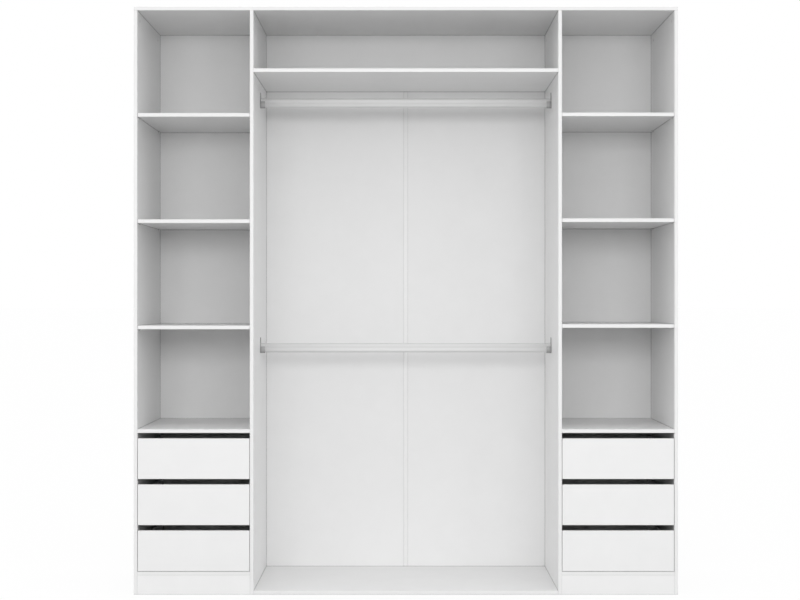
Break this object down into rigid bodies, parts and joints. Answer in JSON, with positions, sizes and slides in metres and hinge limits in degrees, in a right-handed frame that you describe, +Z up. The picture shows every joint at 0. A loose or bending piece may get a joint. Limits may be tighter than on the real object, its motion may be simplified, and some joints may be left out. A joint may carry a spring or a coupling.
{
  "type": "open-front wardrobe",
  "caption": "Tall white open-front wardrobe with side towers of shelves over drawers, and a wide middle section with hanging rails one above the other.",
  "frame": {"origin": "middle of the bounding box's bottom face, on the floor", "axes": "+Z up, -Y out of the open front, +X to the right as seen from the front"},
  "size_m": [2.25, 0.58, 2.43],
  "materials": {
    "white_board": "white melamine-faced chipboard with edging, satin",
    "drawer_front": "white melamine-faced chipboard, edged all round, satin",
    "drawer_board": "white foil-wrapped board, satin",
    "drawer_base": "white lacquered hardboard, satin",
    "back_board": "white lacquered hardboard, satin",
    "white_plastic": "extruded white plastic, satin",
    "rail_metal": "satin anodised",
    "bracket_metal": "grey zinc, satin",
    "screw_steel": "zinc plated",
    "runner_steel": "zinc-plated sheet steel",
    "nylon": "natural nylon",
    "cam_lacquer": "white lacquered zinc"
  },
  "bodies": {
    "carcass": {"left_side_panel": "white_board", "left_partition": "white_board", "right_partition": "white_board", "right_side_panel": "white_board", "top_panel": "white_board", "left_base_board": "white_board", "centre_base_board": "white_board", "right_base_board": "white_board", "left_fixed_shelf": "white_board", "right_fixed_shelf": "white_board", "centre_shelf": "white_board", "left_plinth": "white_board", "right_plinth": "white_board", "left_back_panel": "back_board", "right_back_panel": "back_board", "centre_upper_back": "back_board", "centre_back_left": "back_board", "centre_back_right": "back_board", "back_joining_strip": "white_plastic", "upper_rail": "rail_metal", "lower_rail": "rail_metal", "rail_brackets": "bracket_metal", "rail_bracket_screws": "screw_steel", "shelf_pins": "white_plastic", "cabinet_runners": "runner_steel", "runner_liners": "nylon", "runner_screws": "screw_steel", "cam_locks": "cam_lacquer", "cam_bolts": "screw_steel", "back_nails": "screw_steel", "left_shelf_1": "white_board", "left_shelf_2": "white_board", "left_shelf_3": "white_board", "right_shelf_1": "white_board", "right_shelf_2": "white_board", "right_shelf_3": "white_board"},
    "left_drawer_1": {"left_drawer_1_front": "drawer_front", "left_drawer_1_walls": "drawer_board", "left_drawer_1_bottom": "drawer_base", "left_drawer_1_runners": "runner_steel"},
    "left_drawer_2": {"left_drawer_2_front": "drawer_front", "left_drawer_2_walls": "drawer_board", "left_drawer_2_bottom": "drawer_base", "left_drawer_2_runners": "runner_steel"},
    "left_drawer_3": {"left_drawer_3_front": "drawer_front", "left_drawer_3_walls": "drawer_board", "left_drawer_3_bottom": "drawer_base", "left_drawer_3_runners": "runner_steel"},
    "right_drawer_1": {"right_drawer_1_front": "drawer_front", "right_drawer_1_walls": "drawer_board", "right_drawer_1_bottom": "drawer_base", "right_drawer_1_runners": "runner_steel"},
    "right_drawer_2": {"right_drawer_2_front": "drawer_front", "right_drawer_2_walls": "drawer_board", "right_drawer_2_bottom": "drawer_base", "right_drawer_2_runners": "runner_steel"},
    "right_drawer_3": {"right_drawer_3_front": "drawer_front", "right_drawer_3_walls": "drawer_board", "right_drawer_3_bottom": "drawer_base", "right_drawer_3_runners": "runner_steel"}
  },
  "joints": [
    {"name": "left_drawer_1_slide", "type": "slide", "parent": "carcass", "child": "left_drawer_1", "axis": [0, -1, 0], "range_m": [0, 0.34]},
    {"name": "left_drawer_2_slide", "type": "slide", "parent": "carcass", "child": "left_drawer_2", "axis": [0, -1, 0], "range_m": [0, 0.34]},
    {"name": "left_drawer_3_slide", "type": "slide", "parent": "carcass", "child": "left_drawer_3", "axis": [0, -1, 0], "range_m": [0, 0.34]},
    {"name": "right_drawer_1_slide", "type": "slide", "parent": "carcass", "child": "right_drawer_1", "axis": [0, -1, 0], "range_m": [0, 0.34]},
    {"name": "right_drawer_2_slide", "type": "slide", "parent": "carcass", "child": "right_drawer_2", "axis": [0, -1, 0], "range_m": [0, 0.34]},
    {"name": "right_drawer_3_slide", "type": "slide", "parent": "carcass", "child": "right_drawer_3", "axis": [0, -1, 0], "range_m": [0, 0.34]}
  ]
}
